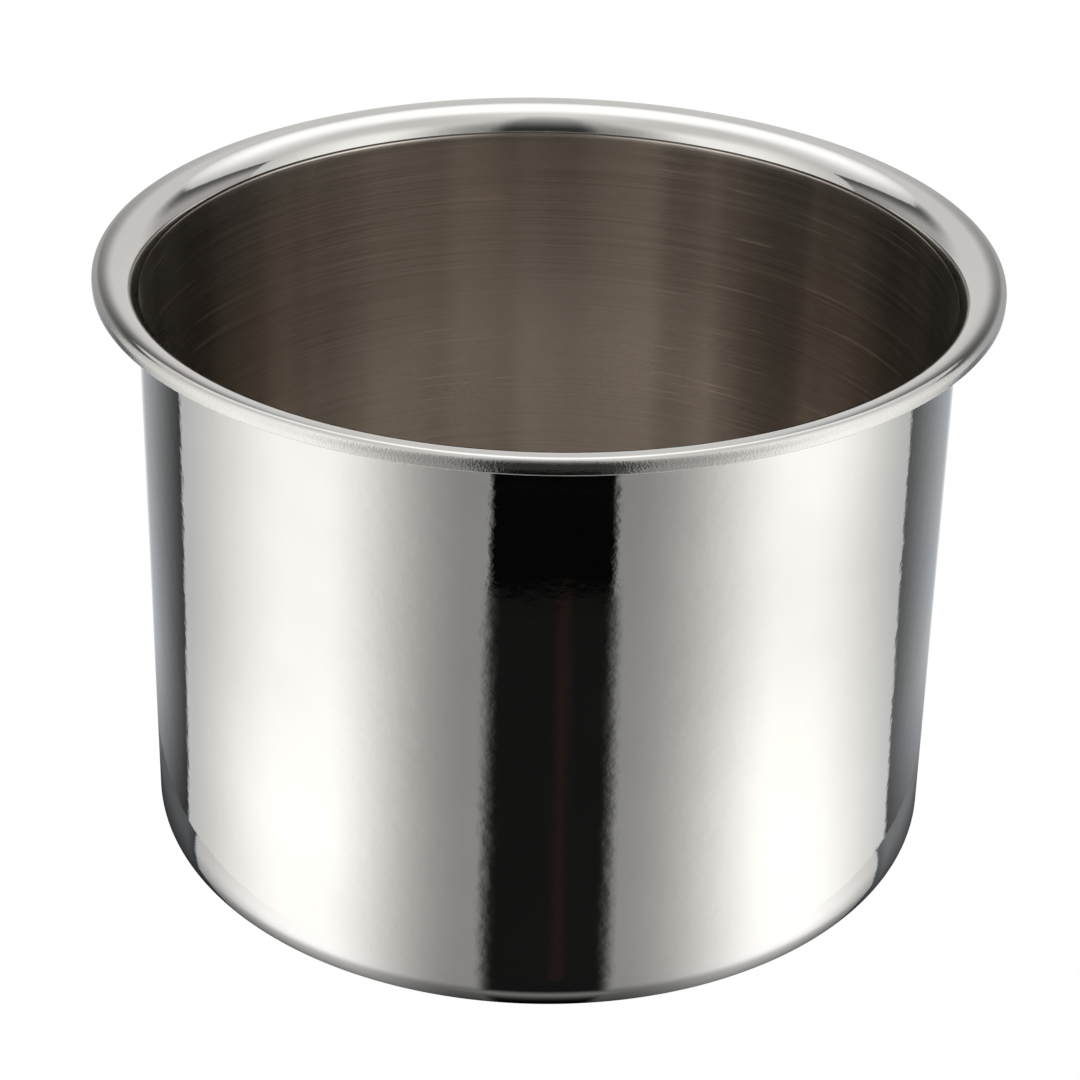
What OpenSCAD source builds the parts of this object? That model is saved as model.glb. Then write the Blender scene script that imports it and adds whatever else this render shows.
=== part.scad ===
// Inner pot of a soup kettle: one deep-drawn stainless steel sheet with a wide rolled rim.
// Millimetres, +Z up, origin at the centre of the underside of the base.

/* [Body] */
// Outside diameter of the straight wall
body_od = 262; // [240:1:280]
// Height from the underside of the base to the top of the rim
pot_h = 203; // [160:1:260]
// Thickness of the sheet
sheet_t = 0.8; // [0.6:0.1:1.2]
// Outside radius where the wall turns into the base
base_corner_r = 11.5; // [6:0.5:24]

/* [Rim] */
// How far the rim stands out past the straight wall
rim_overhang = 14; // [12:0.5:18]
// Width of the level land on top of the rim
rim_land_w = 0.8; // [0.6:0.1:2]
// Radius of the rim's outer edge, on the outside surface
rim_curl_r = 2.6; // [2:0.1:3.2]
// Height of the straight lip below the outer edge
rim_lip_h = 2.0; // [1:0.1:4]

/* [Hidden] */

// The straight wall
wall_outer_r = body_od / 2;
wall_inner_r = wall_outer_r - sheet_t;

// The rim's outer edge, and the circle along which the rim is highest
rim_r = wall_outer_r + rim_overhang;
curl_centre = [rim_r - rim_curl_r, pot_h - rim_curl_r];
crest_r = curl_centre[0] - rim_land_w;
lip_bottom_z = curl_centre[1] - rim_lip_h;

// The bend between the wall and the rim is one quarter arc, tangent to the straight wall and to the level land
rim_bend_r = crest_r - wall_inner_r;
bend_centre = [crest_r, pot_h - rim_bend_r];

// The corner between the wall and the base
corner_centre = [wall_outer_r - base_corner_r, base_corner_r];

// Steps along each arc of the outline
corner_steps = 12;
bend_steps = 16;
curl_steps = 8;

// Points on an arc about a centre, from one angle to another
function arc(centre, r, from, to, steps) =
    [for (i = [0:steps]) let (a = from + (to - from) * i / steps) centre + r * [cos(a), sin(a)]];

// The side of the sheet that faces down and out, from the axis to the edge of the lip
under_side = concat(
    [[0, 0]],
    arc(corner_centre, base_corner_r, -90, 0, corner_steps),
    arc(bend_centre, rim_bend_r - sheet_t, 180, 90, bend_steps),
    arc(curl_centre, rim_curl_r - sheet_t, 90, 0, curl_steps),
    [[rim_r - sheet_t, lip_bottom_z]]
);

// The side of the sheet that faces up and in, from the edge of the lip to the axis
upper_side = concat(
    [[rim_r, lip_bottom_z]],
    arc(curl_centre, rim_curl_r, 0, 90, curl_steps),
    arc(bend_centre, rim_bend_r, 90, 180, bend_steps),
    arc(corner_centre, base_corner_r - sheet_t, 0, -90, corner_steps),
    [[0, sheet_t]]
);

// The whole pot is one sheet: base, wall, rim and lip
module pot() {
    color([0.76, 0.76, 0.75])
        rotate_extrude($fn = 240)
            polygon(concat(under_side, upper_side));
}

pot();
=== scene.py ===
"""The inner pot of a soup kettle: deep-drawn steel, polished outside and satin inside, in a plain studio."""

from math import asin, cos, degrees, exp, pi, radians, sin

import bpy
import numpy as np
from mathutils import Matrix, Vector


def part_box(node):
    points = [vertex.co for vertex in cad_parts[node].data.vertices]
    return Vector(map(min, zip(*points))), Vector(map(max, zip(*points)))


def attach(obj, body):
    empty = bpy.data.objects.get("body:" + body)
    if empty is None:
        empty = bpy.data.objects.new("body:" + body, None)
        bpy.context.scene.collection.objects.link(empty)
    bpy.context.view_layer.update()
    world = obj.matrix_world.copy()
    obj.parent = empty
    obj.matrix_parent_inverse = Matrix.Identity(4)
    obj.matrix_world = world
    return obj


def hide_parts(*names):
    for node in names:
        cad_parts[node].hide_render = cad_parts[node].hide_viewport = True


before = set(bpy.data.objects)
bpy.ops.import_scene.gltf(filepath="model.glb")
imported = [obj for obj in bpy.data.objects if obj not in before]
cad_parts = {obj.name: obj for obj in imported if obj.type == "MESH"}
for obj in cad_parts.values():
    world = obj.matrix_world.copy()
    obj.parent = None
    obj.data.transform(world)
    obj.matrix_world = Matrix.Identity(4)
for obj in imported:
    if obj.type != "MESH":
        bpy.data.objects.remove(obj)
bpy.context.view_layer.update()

MM = 0.001
MICRON = 1e-6

# The pot's driving sizes, in metres. The rim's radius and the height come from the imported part.
LOW, HIGH = (np.array(c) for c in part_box("pot"))
RIM_R = (HIGH[0] - LOW[0]) / 2
POT_H = HIGH[2]
SHEET = 0.8 * MM
OVERHANG = 14.0 * MM
BASE_CORNER_R = 11.5 * MM
CURL_R = 2.6 * MM
LAND_W = 0.8 * MM
LIP_H = 2.0 * MM
# The polish runs this far down the bend, to a fine groove where the satin begins.
POLISH_H = 8.8 * MM
GROOVE_W = 0.5 * MM
GROOVE_D = 0.05 * MM
# The rim's outer face turns into its top at this angle round the curl, in degrees.
LIP_TOP = 50
OVAL = 0.08 * MM
SEGMENTS = 400
SAME_POINT = 1e-6
ON_AXIS = 1e-9

WALL_R = RIM_R - OVERHANG
WALL_IN_R = WALL_R - SHEET
SATIN_TOP = POT_H - POLISH_H
CURL_AT = (RIM_R - CURL_R, POT_H - CURL_R)
BEND_R = CURL_AT[0] - LAND_W - WALL_IN_R
BEND_AT = (CURL_AT[0] - LAND_W, POT_H - BEND_R)
LIP_LOW = CURL_AT[1] - LIP_H
CORNER_AT = (WALL_R - BASE_CORNER_R, BASE_CORNER_R)


def arc(centre, r, start, end, steps):
    """Points of an arc, both ends included, with angles in degrees."""
    angles = np.radians(np.linspace(start, end, steps + 1))
    return [(centre[0] + r * cos(a), centre[1] + r * sin(a)) for a in angles]


def line(a, b, steps):
    """Points from a to b, both ends included."""
    shares = np.linspace(0, 1, steps + 1)
    return [(a[0] + (b[0] - a[0]) * t, a[1] + (b[1] - a[1]) * t) for t in shares]


def section_runs():
    """The section's stretches and zones, from the underside's middle over the lip to the floor's middle."""
    border = 180 - degrees(asin((SATIN_TOP - BEND_AT[1]) / BEND_R))
    groove = degrees(GROOVE_W / BEND_R)
    edge_at = (RIM_R - SHEET / 2, LIP_LOW + SHEET / 2)
    return [
        ("underside", line((0, 0), (CORNER_AT[0], 0), 24)),
        ("outside", arc(CORNER_AT, BASE_CORNER_R, -90, 0, 18)),
        ("outside", line((WALL_R, BASE_CORNER_R), (WALL_R, BEND_AT[1]), 40)),
        ("outside", arc(BEND_AT, BEND_R - SHEET, 180, 90, 18)),
        ("outside", arc(CURL_AT, CURL_R - SHEET, 90, 0, 8)),
        ("edge", arc(edge_at, SHEET / 2, 180, 360, 8)),
        ("lip", arc(CURL_AT, CURL_R, 0, LIP_TOP, 8)),
        ("rim", arc(CURL_AT, CURL_R, LIP_TOP, 90, 6)),
        ("rim", arc(BEND_AT, BEND_R, 90, border - groove / 2, 24)),
        ("groove", arc(BEND_AT, BEND_R - GROOVE_D, border - groove / 4, border + groove / 4, 2)),
        ("satin", arc(BEND_AT, BEND_R, border + groove / 2, 180, 6)),
        ("satin", line((WALL_IN_R, BEND_AT[1]), (WALL_IN_R, BASE_CORNER_R), 40)),
        ("satin", arc(CORNER_AT, BASE_CORNER_R - SHEET, 0, -90, 14)),
        ("satin", line((CORNER_AT[0], SHEET), (0, SHEET), 24)),
    ]


def pot_section():
    """The section's points as (radius, height), each place once, and the zone of each."""
    points = []
    zones = []
    for zone, run in section_runs():
        for p in run:
            if points and np.hypot(p[0] - points[-1][0], p[1] - points[-1][1]) < SAME_POINT:
                continue
            points.append(p)
            zones.append(zone)
    return points, zones


def out_of_round(turn, r):
    """How far a drawn pot's wall stands off its true circle: a slight oval with a few shallow waves."""
    share = (r / RIM_R) ** 2
    return OVAL * share * (0.6 * sin(2 * turn + 1.0) + 0.3 * sin(3 * turn + 2.2) + 0.1 * sin(7 * turn))


def new_object(name, verts, faces):
    """A mesh object in the scene."""
    mesh = bpy.data.meshes.new(name)
    mesh.from_pydata(verts, [], faces)
    obj = bpy.data.objects.new(name, mesh)
    bpy.context.collection.objects.link(obj)
    return obj


def turned_points(rings):
    """Each of the section's points carried round the pot's axis, ring after ring."""
    verts = []
    for r, z in rings:
        for a in np.arange(SEGMENTS) * 2 * pi / SEGMENTS:
            wide = r + out_of_round(a, r)
            verts.append((wide * sin(a), -wide * cos(a), z))
    return verts


def lathe(name, points, zones, slots):
    """A closed solid of revolution, with a material slot for each zone of its section."""
    rings = [p for p in points if p[0] > ON_AXIS]
    ring_slots = [slots.index(zone) for p, zone in zip(points, zones) if p[0] > ON_AXIS]
    verts = turned_points(rings) + [(0, 0, points[0][1]), (0, 0, points[-1][1])]
    under, over = len(verts) - 2, len(verts) - 1
    last_ring = under - SEGMENTS
    faces = []
    slot_of = []
    for j in range(len(rings) - 1):
        for i in range(SEGMENTS):
            k = (i + 1) % SEGMENTS
            low, high = j * SEGMENTS, (j + 1) * SEGMENTS
            faces.append((low + i, low + k, high + k, high + i))
            slot_of.append(ring_slots[j + 1])
    for i in range(SEGMENTS):
        k = (i + 1) % SEGMENTS
        faces += [(under, k, i), (over, last_ring + i, last_ring + k)]
        slot_of += [ring_slots[0], ring_slots[-1]]
    obj = new_object(name, verts, faces)
    obj.data.polygons.foreach_set("material_index", slot_of)
    obj.data.polygons.foreach_set("use_smooth", [True] * len(faces))
    obj.data.update()
    return obj


# Metals. Lengths are in metres, and a noise's waves are counted to a metre.
STEEL = (0.72, 0.72, 0.71)
SATIN_STEEL = (0.58, 0.54, 0.50)
# The satin's painted reflections, soft upright stripes of light and shade in its colour: how far round they
# are turned, their place in the noise, how faint they get on the floor, and from which radius inwards
REFLECTION_BAND_TURN = radians(-20.5)
REFLECTION_BAND_PLACE = (0, 0, 3)
REFLECTION_BAND_FAINT = 0.12
REFLECTION_BAND_FAINT_R = CORNER_AT[0] - BASE_CORNER_R


def add(mat, kind, inputs, **options):
    """A node with its options and inputs set. An input is a value or another node's output."""
    made = mat.node_tree.nodes.new(kind)
    for name, value in options.items():
        setattr(made, name, value)
    for name, value in inputs.items():
        if isinstance(value, bpy.types.NodeSocket):
            mat.node_tree.links.new(value, made.inputs[name])
        else:
            made.inputs[name].default_value = value
    return made


def start_metal(name):
    """A metal's material, its shader, and the place on the pot in metres."""
    mat = bpy.data.materials.new(name)
    mat.use_nodes = True
    shader = mat.node_tree.nodes["Principled BSDF"]
    shader.inputs["Metallic"].default_value = 1
    return mat, shader, add(mat, "ShaderNodeTexCoord", {}).outputs["Object"]


def finish_metal(mat, shader, colour, roughness, normal):
    """The metal with its colour, roughness and relief joined to its shader."""
    links = mat.node_tree.links
    links.new(colour, shader.inputs["Base Color"])
    links.new(roughness, shader.inputs["Roughness"])
    links.new(normal, shader.inputs["Normal"])
    return mat


def noise(mat, place, waves, detail):
    """Noise with so many waves to a metre, and so many finer layers on top."""
    made = add(mat, "ShaderNodeTexNoise", {"Vector": place, "Scale": waves, "Detail": detail})
    return made.outputs["Fac"]


def spread(mat, value, source, target):
    """A value taken from one range to another and kept inside it."""
    ends = {"From Min": source[0], "From Max": source[1], "To Min": target[0], "To Max": target[1]}
    return add(mat, "ShaderNodeMapRange", {"Value": value, **ends}).outputs["Result"]


def maths(mat, operation, a, b):
    """Two numbers added, multiplied and so on."""
    return add(mat, "ShaderNodeMath", {0: a, 1: b}, operation=operation).outputs[0]


def vector(mat, operation, a, b):
    """Two vectors added, multiplied and so on."""
    return add(mat, "ShaderNodeVectorMath", {0: a, 1: b}, operation=operation).outputs["Vector"]


def tone(colour, k):
    """A colour so many times as bright."""
    return tuple(min(c * k, 1) for c in colour)


def shades(mat, value, colour, dark, light):
    """A colour that a value takes from a darker to a lighter tone of itself."""
    ramp_node = add(mat, "ShaderNodeValToRGB", {"Fac": value})
    ramp_node.color_ramp.elements[0].color = (*tone(colour, dark), 1)
    ramp_node.color_ramp.elements[1].color = (*tone(colour, light), 1)
    return ramp_node.outputs["Color"]


def relief(mat, *heights):
    """Bumps on bumps: each is a height pattern and its depth in metres."""
    below = {}
    for pattern, depth in heights:
        bump = add(mat, "ShaderNodeBump", {"Height": pattern, "Distance": depth, **below})
        below = {"Normal": bump.outputs["Normal"]}
    return below["Normal"]


def level_part(mat, place):
    """The place without its height."""
    return vector(mat, "MULTIPLY", place, (1, 1, 0))


def distance_out(mat, place):
    """The distance from the pot's axis."""
    away = add(mat, "ShaderNodeVectorMath", {0: level_part(mat, place)}, operation="LENGTH")
    return away.outputs["Value"]


def turning_marks(mat, place, around, across, detail):
    """Marks that run round the pot on wall and floor: few waves along each mark, and many across."""
    parts = add(mat, "ShaderNodeSeparateXYZ", {0: place}).outputs
    run = maths(mat, "ADD", parts["Z"], distance_out(mat, place))
    joined = add(mat, "ShaderNodeCombineXYZ", {"X": parts["X"], "Y": parts["Y"], "Z": run}).outputs[0]
    return noise(mat, vector(mat, "MULTIPLY", joined, (around, around, across)), 1.0, detail)


def painted_reflection_bands(mat, place, count):
    """Painted reflections: soft upright stripes round the wall, about so many to a turn, which fade on the
    floor.
    """
    unit = add(mat, "ShaderNodeVectorMath", {0: level_part(mat, place)}, operation="NORMALIZE")
    start = {"Vector": unit.outputs["Vector"], "Angle": REFLECTION_BAND_TURN}
    turned = add(mat, "ShaderNodeVectorRotate", start, rotation_type="Z_AXIS").outputs["Vector"]
    pattern = noise(mat, vector(mat, "ADD", turned, REFLECTION_BAND_PLACE), count / (2 * pi), 1.0)
    pattern = spread(mat, pattern, (0.35, 0.65), (-0.5, 0.5))
    upright = spread(mat, distance_out(mat, place), (REFLECTION_BAND_FAINT_R, WALL_IN_R), (REFLECTION_BAND_FAINT, 1.0))
    return maths(mat, "ADD", maths(mat, "MULTIPLY", pattern, upright), 0.5)


def brush_across(mat, shader, amount):
    """Stretches the highlights across marks that run round the pot."""
    along = add(mat, "ShaderNodeTangent", {}, direction_type="RADIAL", axis="Z").outputs["Tangent"]
    mat.node_tree.links.new(along, shader.inputs["Tangent"])
    shader.inputs["Anisotropic"].default_value = amount
    shader.inputs["Anisotropic Rotation"].default_value = 0.25


def polished_wall():
    """Mirror-polished sheet: shallow ripples that tear the reflections, faint smudges and a few specks."""
    mat, shader, place = start_metal("polished_wall")
    cloudy = spread(mat, noise(mat, place, waves=12.0, detail=3.0), (0.32, 0.68), (0.2, 1.0))
    speck = add(mat, "ShaderNodeTexVoronoi", {"Vector": place, "Scale": 42.0}).outputs["Distance"]
    dots = spread(mat, speck, (0.012, 0.02), (0.0, 1.0))
    colour = shades(mat, maths(mat, "MULTIPLY", dots, cloudy), STEEL, dark=0.9, light=1.06)
    smudges = spread(mat, noise(mat, place, waves=28.0, detail=5.0), (0.45, 0.75), (0.02, 0.07))
    dents = noise(mat, place, waves=75.0, detail=2.0)
    ripples = noise(mat, place, waves=260.0, detail=3.0)
    polish = turning_marks(mat, place, around=40.0, across=2600.0, detail=2.0)
    smooth = [(dents, 50 * MICRON), (ripples, 32 * MICRON)]
    fine = [(polish, 0.25 * MICRON), (dots, 20 * MICRON)]
    return finish_metal(mat, shader, colour, smudges, relief(mat, *smooth, *fine))


def polished_rim():
    """The rim: polished over a fine orange-peel grain, with faint turning marks and rubbed patches."""
    mat, shader, place = start_metal("polished_rim")
    clouds = noise(mat, place, waves=30.0, detail=4.0)
    colour = shades(mat, clouds, STEEL, dark=0.92, light=1.05)
    marks = turning_marks(mat, place, around=30.0, across=3000.0, detail=3.0)
    rough = spread(mat, maths(mat, "ADD", clouds, marks), (0.7, 1.3), (0.03, 0.07))
    ripples = noise(mat, place, waves=420.0, detail=2.0)
    grain = noise(mat, place, waves=2300.0, detail=2.0)
    normal = relief(mat, (ripples, 10 * MICRON), (grain, 3 * MICRON), (marks, 1 * MICRON))
    return finish_metal(mat, shader, colour, rough, normal)


def rolled_lip():
    """The rim's outer face: polished over a coarser orange-peel grain, which breaks up what it reflects."""
    mat, shader, place = start_metal("rolled_lip")
    clouds = noise(mat, place, waves=55.0, detail=4.0)
    grain = noise(mat, place, waves=1500.0, detail=2.0)
    colour = shades(mat, maths(mat, "MULTIPLY", clouds, grain), STEEL, dark=0.88, light=1.18)
    rough = spread(mat, clouds, (0.35, 0.7), (0.07, 0.12))
    marks = turning_marks(mat, place, around=30.0, across=2400.0, detail=3.0)
    return finish_metal(mat, shader, colour, rough, relief(mat, (grain, 75 * MICRON), (marks, 2 * MICRON)))


def satin_inside():
    """The inside: brushed round and round, with light scratches, a brownish cast and soft upright stripes of
    painted reflection.
    """
    mat, shader, place = start_metal("satin_inside")
    brushing = turning_marks(mat, place, around=9.0, across=1300.0, detail=4.0)
    stains = noise(mat, place, waves=16.0, detail=4.0)
    scratches = turning_marks(mat, place, around=20.0, across=1300.0, detail=1.0)
    scratches = spread(mat, scratches, (0.67, 0.71), (0.0, 1.0))
    # Painted reflections: wide and narrow upright stripes of light and shade in the satin's colour
    wide, narrow = painted_reflection_bands(mat, place, 9), painted_reflection_bands(mat, place, 40)
    shares = ((brushing, 0.10), (wide, 0.45), (narrow, 0.27), (stains, 0.25), (scratches, 0.45))
    mixed = 0.0
    for pattern, weight in shares:
        mixed = maths(mat, "ADD", mixed, maths(mat, "MULTIPLY", pattern, weight))
    mixed = spread(mat, mixed, (0.15, 0.85), (0.0, 1.0))
    colour = shades(mat, mixed, SATIN_STEEL, dark=0.55, light=1.38)
    rough = spread(mat, brushing, (0.3, 0.7), (0.20, 0.27))
    brush_across(mat, shader, 0.6)
    normal = relief(mat, (brushing, 1.4 * MICRON), (scratches, 3 * MICRON))
    return finish_metal(mat, shader, colour, rough, normal)


def cut_edge():
    """The lip's trimmed and rolled edge, duller than the rim."""
    mat, shader, place = start_metal("cut_edge")
    grain = noise(mat, place, waves=1900.0, detail=3.0)
    colour = shades(mat, grain, STEEL, dark=0.95, light=1.2)
    rough = spread(mat, grain, (0.3, 0.7), (0.5, 0.62))
    return finish_metal(mat, shader, colour, rough, relief(mat, (grain, 8 * MICRON)))


def border_groove():
    """The fine line where the polishing wheel stopped."""
    mat, shader, place = start_metal("border_groove")
    marks = turning_marks(mat, place, around=60.0, across=1500.0, detail=3.0)
    colour = shades(mat, marks, SATIN_STEEL, dark=0.45, light=0.8)
    rough = spread(mat, marks, (0.3, 0.7), (0.3, 0.45))
    return finish_metal(mat, shader, colour, rough, relief(mat, (marks, 4 * MICRON)))


def brushed_base():
    """The underside: turned marks in circles, with rubbed patches where it has stood."""
    mat, shader, place = start_metal("brushed_base")
    marks = turning_marks(mat, place, around=10.0, across=1100.0, detail=4.0)
    worn = noise(mat, place, waves=40.0, detail=5.0)
    colour = shades(mat, maths(mat, "MULTIPLY", marks, worn), STEEL, dark=0.75, light=1.25)
    rough = spread(mat, worn, (0.35, 0.7), (0.18, 0.34))
    return finish_metal(mat, shader, colour, rough, relief(mat, (marks, 3 * MICRON), (worn, 5 * MICRON)))


def only_light(name):
    """A material that only gives off light, and its emission shader."""
    mat = bpy.data.materials.new(name)
    mat.use_nodes = True
    mat.node_tree.nodes.clear()
    shader = add(mat, "ShaderNodeEmission", {})
    add(mat, "ShaderNodeOutputMaterial", {"Surface": shader.outputs["Emission"]})
    return mat, shader


def glow(name):
    """A light card's face, in the colour of light that the mesh attribute "glow" says."""
    mat, shader = only_light(name)
    level = add(mat, "ShaderNodeAttribute", {}, attribute_name="glow")
    mat.node_tree.links.new(level.outputs["Color"], shader.inputs["Color"])
    mat.cycles.emission_sampling = "NONE"
    return mat


def card(name, grid, light):
    """A light card: a grid of points and the colour of light at each, out of the camera's sight."""
    cols = len(grid[0])
    corners = [j * cols + i for j in range(len(grid) - 1) for i in range(cols - 1)]
    faces = [(a, a + 1, a + cols + 1, a + cols) for a in corners]
    obj = new_object(name, [p for row in grid for p in row], faces)
    data = obj.data.attributes.new("glow", "FLOAT_COLOR", "POINT")
    data.data.foreach_set("color", [c for row in light for colour in row for c in (*colour, 1)])
    obj.data.materials.append(glow(name))
    obj.visible_camera = False
    obj.visible_shadow = False


# The light tent: a dome round the pot that only the steel's reflections see. Angles are in degrees from the
# dome's centre, and azimuth 0 is the camera's side. Tones are 0 to 255, as the polished steel shows them, and
# SEEN_STEEL is the share of light that it gives back. A pair of angles is where a change begins and ends.
TENT_R = 0.45
TENT_H = 0.2
TENT_COLS = 481
TENT_ROWS = 179
TENT_FOOT = -88
SEEN_STEEL = 0.72
WARM = (1.0, 0.985, 0.945)
COOL = (0.955, 0.99, 1.035)
NEUTRAL = (1.0, 0.985, 0.965)

# Some tones differ low down and high up. The change is here.
UP_FADE = (-21, -8)

# Each side: half the camera's gap, where the light rises and falls, where the side ends, and the tone behind,
# low down and high up
LEFT = {"gap": 12, "rise": (16, 54), "fall": (62, 112), "end": 106.5, "dark": 54, "dark_up": 135}
RIGHT = {"gap": 16.5, "rise": (18, 60), "fall": (66, 114), "end": 105.5, "dark": 80, "dark_up": 160}
SIDE_DIM = 130
SIDE_BRIGHT = 248
BRIGHT_UP = 0.97
SIDE_FAR = 172
SIDE_FAR_UP = 184
SIDE_EDGE = (-0.7, 0.7)

# From the bottom up, the gap is dark with a soft edge, black with a sharp edge, and grey with a wide edge.
GAP_DARK = 19
GAP_BLACK = 5
GAP_SOFT = 2.5
GAP_SHARP = 0.5
GAP_GREY = 47
GREY_EDGE = (-3, 6)
GREY_FADE = (-21.4, -18.5)

# The back sheet stands in an arch and gets lighter from the sides inwards. It is dimmer at its foot and, away
# from the middle, just under its top. It is lighter low down right behind the pot.
BACK_TONE = 156
BACK_REACH = 34
BACK_POWER = 1.6
BACK_LOW = 42
BACK_LOW_FADE = (137, 148)
FOOT_DIM = 0.6
FOOT_FADE = (-52, -40)
POCKET_DIM = 0.5
POCKET_FADE = (0, 20)
MIDDLE_FADE = (12, 32)
MIDDLE_LIFT = 39
ARCH_TOP = 39
ARCH_LOW = 32
ARCH_HALF = 30
ARCH_EDGE = (-0.8, 0.8)

# The top has a tone in front, one at the back and one right overhead.
TOP_TONE = 196
BACK_GLOW = 262
ZENITH_TONE = 215
ZENITH_FADE = (70, 90)
ZENITH_BACK_FADE = (68, 90)
TOP_BACK_FADE = (105, 170)
# The sheets give way to the top here: in front, at the sides, and over the back's arch.
FRONT_TOP = (28, 84)
SIDE_TOP = (35, 62)
FRONT_TO_SIDE = (15, 40)
SKY_FADE = (30, 50)

# The lower part of the tent is a little brighter, and its foot is dim. The sides' tint turns into the back's.
LOW_LIFT = 1.1
LIFT_FADE = (-42, -28)
NADIR_DIM = 0.3
NADIR_FADE = (-78, -52)
TINT_FADE = (85, 125)

# A faint reddish streak stands in the gap and ends where the gap turns black.
STREAK_AT = 5
STREAK_END = (-27.3, -25.9)
STREAK_W = 1.6
STREAK_TONE = 26
STREAK_TINT = (1.0, 0.3, 0.15)


def linear(seen):
    """The linear value of a display tone."""
    c = seen / 255
    return c / 12.92 if c <= 0.04045 else ((c + 0.055) / 1.055) ** 2.4


def ramp(low, high, x):
    """A straight rise from 0 at low to 1 at high."""
    return min(max((x - low) / (high - low), 0), 1)


def ease(low, high, x):
    """A smooth step from 0 at low to 1 at high."""
    t = ramp(low, high, x)
    return t * t * (3 - 2 * t)


def mix(a, b, t):
    """The value a share t of the way from a to b."""
    return a + (b - a) * t


def bell(x, middle, width):
    """1 in the middle, and falling off smoothly to both sides."""
    return exp(-(((x - middle) / width) ** 2))


def side_tone(side, azimuth, elevation, up):
    """A side sheet: dark gap for the camera, then dim, bright, and dimmer again towards the back."""
    bright = SIDE_BRIGHT * mix(1, BRIGHT_UP, up)
    sheet = mix(SIDE_DIM, bright, ease(*side["rise"], azimuth))
    sheet = mix(sheet, mix(SIDE_FAR, SIDE_FAR_UP, up), ease(*side["fall"], azimuth))
    above_streak = ease(*STREAK_END, elevation)
    soft = mix(GAP_SOFT, GAP_SHARP, above_streak)
    opening = ease(side["gap"] - soft, side["gap"] + soft, azimuth)
    low = mix(mix(GAP_DARK, GAP_BLACK, above_streak), sheet, opening)
    high = mix(GAP_GREY, sheet, ease(*GREY_EDGE, azimuth - side["gap"]))
    return mix(low, high, ease(*GREY_FADE, elevation))


def arch_top(behind):
    """How high the back sheet reaches, which is highest right behind the pot."""
    return max(ARCH_TOP - (ARCH_TOP - ARCH_LOW) * (behind / ARCH_HALF) ** 2, ARCH_LOW)


def back_tone(side, azimuth, elevation, up):
    """The back sheet: dark where it meets a side, grey in the middle, and bright low down right behind."""
    behind = 180 - azimuth
    inward = 1 - (1 - ramp(0, BACK_REACH, azimuth - side["end"])) ** BACK_POWER
    sheet = mix(mix(side["dark"], side["dark_up"], up), BACK_TONE, inward)
    sheet += BACK_LOW * ease(*BACK_LOW_FADE, azimuth) * (1 - up)
    sheet *= mix(FOOT_DIM, 1, ease(*FOOT_FADE, elevation))
    pocket = mix(POCKET_DIM, 1, ease(*POCKET_FADE, arch_top(behind) - elevation))
    outer = ease(*MIDDLE_FADE, behind)
    return sheet * mix(1, pocket, outer) + MIDDLE_LIFT * up * (1 - outer)


def top_tone(azimuth, elevation):
    """The top: brighter towards the back, and one tone right overhead."""
    front = mix(TOP_TONE, ZENITH_TONE, ease(*ZENITH_FADE, elevation))
    back = mix(BACK_GLOW, ZENITH_TONE, ease(*ZENITH_BACK_FADE, elevation))
    return mix(front, back, ease(*TOP_BACK_FADE, azimuth))


def tent_tone(azimuth, elevation):
    """The tent's tone in one direction."""
    side = RIGHT if azimuth > 0 else LEFT
    away = abs(azimuth)
    up = ease(*UP_FADE, elevation)
    sheet = side_tone(side, away, elevation, up)
    top = top_tone(away, elevation)
    share = mix(ramp(*FRONT_TOP, elevation), ease(*SIDE_TOP, elevation), ease(*FRONT_TO_SIDE, away))
    front = mix(sheet, top, share)
    sky = mix(sheet, top, ease(*SKY_FADE, elevation))
    above = ease(*ARCH_EDGE, elevation - arch_top(180 - away))
    back = mix(back_tone(side, away, elevation, up), sky, above)
    return mix(front, back, ease(*SIDE_EDGE, away - side["end"]))


def tent_light(azimuth, elevation):
    """The tent's light: warm at the sides, cooler low down at the back, with the streak in the gap."""
    level = linear(tent_tone(azimuth, elevation)) / SEEN_STEEL
    level *= mix(NADIR_DIM, 1, ease(*NADIR_FADE, elevation)) * mix(LOW_LIFT, 1, ease(*LIFT_FADE, elevation))
    up = ease(*UP_FADE, elevation)
    back = ease(*TINT_FADE, abs(azimuth))
    tint = [mix(w, mix(c, n, up), back) for w, c, n in zip(WARM, COOL, NEUTRAL)]
    streak = linear(STREAK_TONE) * bell(azimuth, STREAK_AT, STREAK_W) * (1 - ease(*STREAK_END, elevation))
    return [level * k + streak * r for k, r in zip(tint, STREAK_TINT)]


def tent_point(azimuth, elevation):
    """A point on the light tent."""
    a, e = radians(azimuth), radians(elevation)
    return (TENT_R * cos(e) * sin(a), -TENT_R * cos(e) * cos(a), TENT_R * sin(e) + TENT_H)


def light_tent():
    """The dome round the pot."""
    azimuths = np.linspace(-180, 180, TENT_COLS)
    elevations = np.linspace(TENT_FOOT, 90, TENT_ROWS)
    grid = [[tent_point(a, e) for a in azimuths] for e in elevations]
    card("light_tent", grid, [[tent_light(a, e) for a in azimuths] for e in elevations])


# The floor's sheen: a ring from just under the base corner outwards, seen only in reflections
# Its light is a painted reflection of the floor, with the pot's contact shadow painted in towards the base.
SHEEN_FROM = 121 * MM
SHEEN_TO = 150 * MM
SHEEN_COLS = 721
SHEEN_ROWS = 31
SHEEN_LEVEL = 1.07
# It takes the tent's tone at this elevation and so many times as far round, with more turn towards the base.
SHEEN_WALL = -40
SHEEN_TURN = 1.5
SHEEN_TURN_IN = 0.7
SHEEN_REACH = 25 * MM
# That turn goes no further than the end. At the back, past the last azimuth, it goes on more slowly.
SHEEN_END = 112
SHEEN_PAST = 95
SHEEN_PAST_TURN = 0.7
SHEEN_COOL_FADE = (100, 110)
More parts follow.
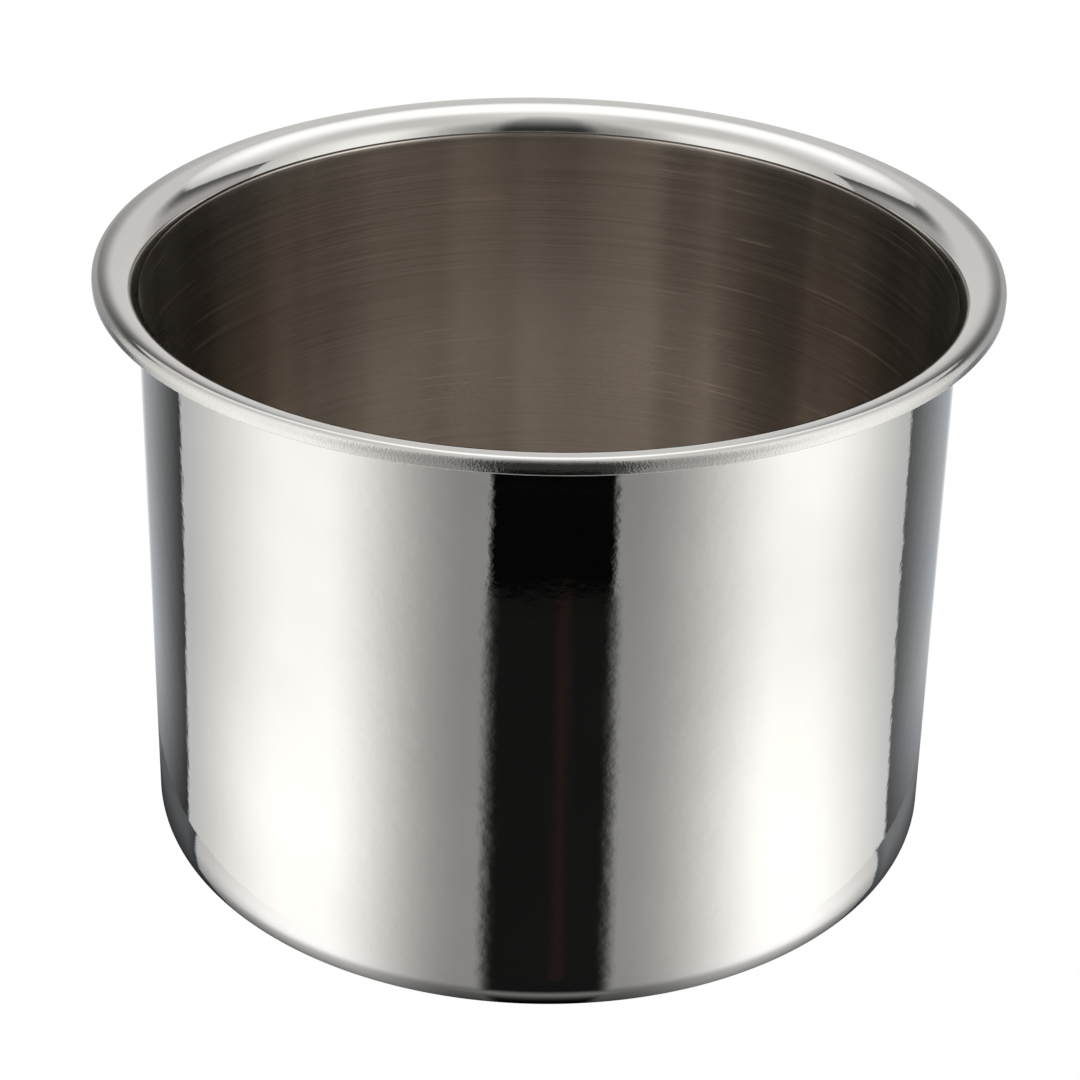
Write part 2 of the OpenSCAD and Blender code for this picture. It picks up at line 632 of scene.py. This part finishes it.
# Towards the base, half of its light fades over the far stretch and half over the near one: a painted contact
# shadow.
SHEEN_NEAR = (SHEEN_FROM, SHEEN_FROM + 16 * MM)
SHEEN_FAR = (135 * MM, 145 * MM)
# A bright line under the base corner, on the camera's side
GLINT_R = 135.5 * MM
GLINT_W = 3.5 * MM
GLINT_TONE = 104
GLINT_FADE = (30, 50)


def sheen_light(azimuth, r):
    """The floor beside the pot as a painted reflection: it carries on the wall's reflections and darkens
    towards the base in a painted contact shadow.
    """
    away = abs(azimuth)
    turned = away * (SHEEN_TURN + SHEEN_TURN_IN * ((SHEEN_TO - r) / SHEEN_REACH) ** 2)
    wall_at = min(turned, SHEEN_END) + max(away - SHEEN_PAST, 0) * SHEEN_PAST_TURN
    wall = SHEEN_LEVEL * linear(tent_tone(wall_at if azimuth > 0 else -wall_at, SHEEN_WALL)) / SEEN_STEEL
    level = wall * (0.5 * ramp(*SHEEN_NEAR, r) + 0.5 * ease(*SHEEN_FAR, r))
    glint = linear(GLINT_TONE) / SEEN_STEEL * bell(r, GLINT_R, GLINT_W) * (1 - ease(*GLINT_FADE, away))
    cool = ease(*SHEEN_COOL_FADE, turned)
    return [max(level, glint) * mix(n, c, cool) for n, c in zip(NEUTRAL, COOL)]


def floor_sheen():
    """The floor next to the pot, as the base corner reflects it."""
    turns = np.linspace(-180, 180, SHEEN_COLS)
    radii = np.linspace(SHEEN_FROM, SHEEN_TO, SHEEN_ROWS)
    grid = [[(r * sin(radians(a)), -r * cos(radians(a)), 0.0) for a in turns] for r in radii]
    card("floor_sheen", grid, [[sheen_light(a, r) for a in turns] for r in radii])


FLOOR_HALF = 6.0
FLOOR_Z = -0.3 * MM


def build_floor():
    """A white floor a hair below the base, so that the two faces don't fight."""
    s, z = FLOOR_HALF, FLOOR_Z
    obj = new_object("floor", [(-s, -s, z), (s, -s, z), (s, s, z), (-s, s, z)], [(0, 1, 2, 3)])
    obj.data.materials.append(only_light("floor")[0])
    obj.visible_glossy = False


# How bright the world is in the reflections
WORLD_DIM = 0.004


def set_world():
    """White behind everything for the camera, and almost black in the reflections."""
    world = bpy.data.worlds.new("studio")
    bpy.context.scene.world = world
    world.use_nodes = True
    ground = world.node_tree.nodes["Background"]
    ground.inputs["Color"].default_value = (1, 1, 1, 1)
    camera_ray = add(world, "ShaderNodeLightPath", {}).outputs["Is Camera Ray"]
    strength = spread(world, camera_ray, (0.0, 1.0), (WORLD_DIM, 1.0))
    world.node_tree.links.new(strength, ground.inputs["Strength"])


# The camera stands where the photograph was taken from. The lens and sensor are in millimetres, the place is
# in metres and the angles are in degrees.
CAM_LENS = 101.13
CAM_SENSOR = 36
CAM_AT = (-0.00115, -0.89332, 0.58555)
CAM_TILT = 28.56
CAM_ROLL = 1.209


def set_camera():
    """The photograph's camera."""
    cam = bpy.data.objects.new("camera", bpy.data.cameras.new("camera"))
    cam.data.lens = CAM_LENS
    cam.data.sensor_width = CAM_SENSOR
    turn = Matrix.Rotation(radians(90 - CAM_TILT), 4, "X") @ Matrix.Rotation(radians(CAM_ROLL), 4, "Z")
    cam.matrix_world = Matrix.Translation(CAM_AT) @ turn
    bpy.context.collection.objects.link(cam)
    bpy.context.scene.camera = cam


METALS = {
    "outside": polished_wall,
    "rim": polished_rim,
    "lip": rolled_lip,
    "groove": border_groove,
    "satin": satin_inside,
    "edge": cut_edge,
    "underside": brushed_base,
}

points, zones = pot_section()
pot = lathe("inner_pot", points, zones, list(METALS))
for make_metal in METALS.values():
    pot.data.materials.append(make_metal())
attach(pot, "root")
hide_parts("pot")

light_tent()
floor_sheen()
build_floor()
set_world()
set_camera()
bpy.context.scene.view_settings.view_transform = "Standard"
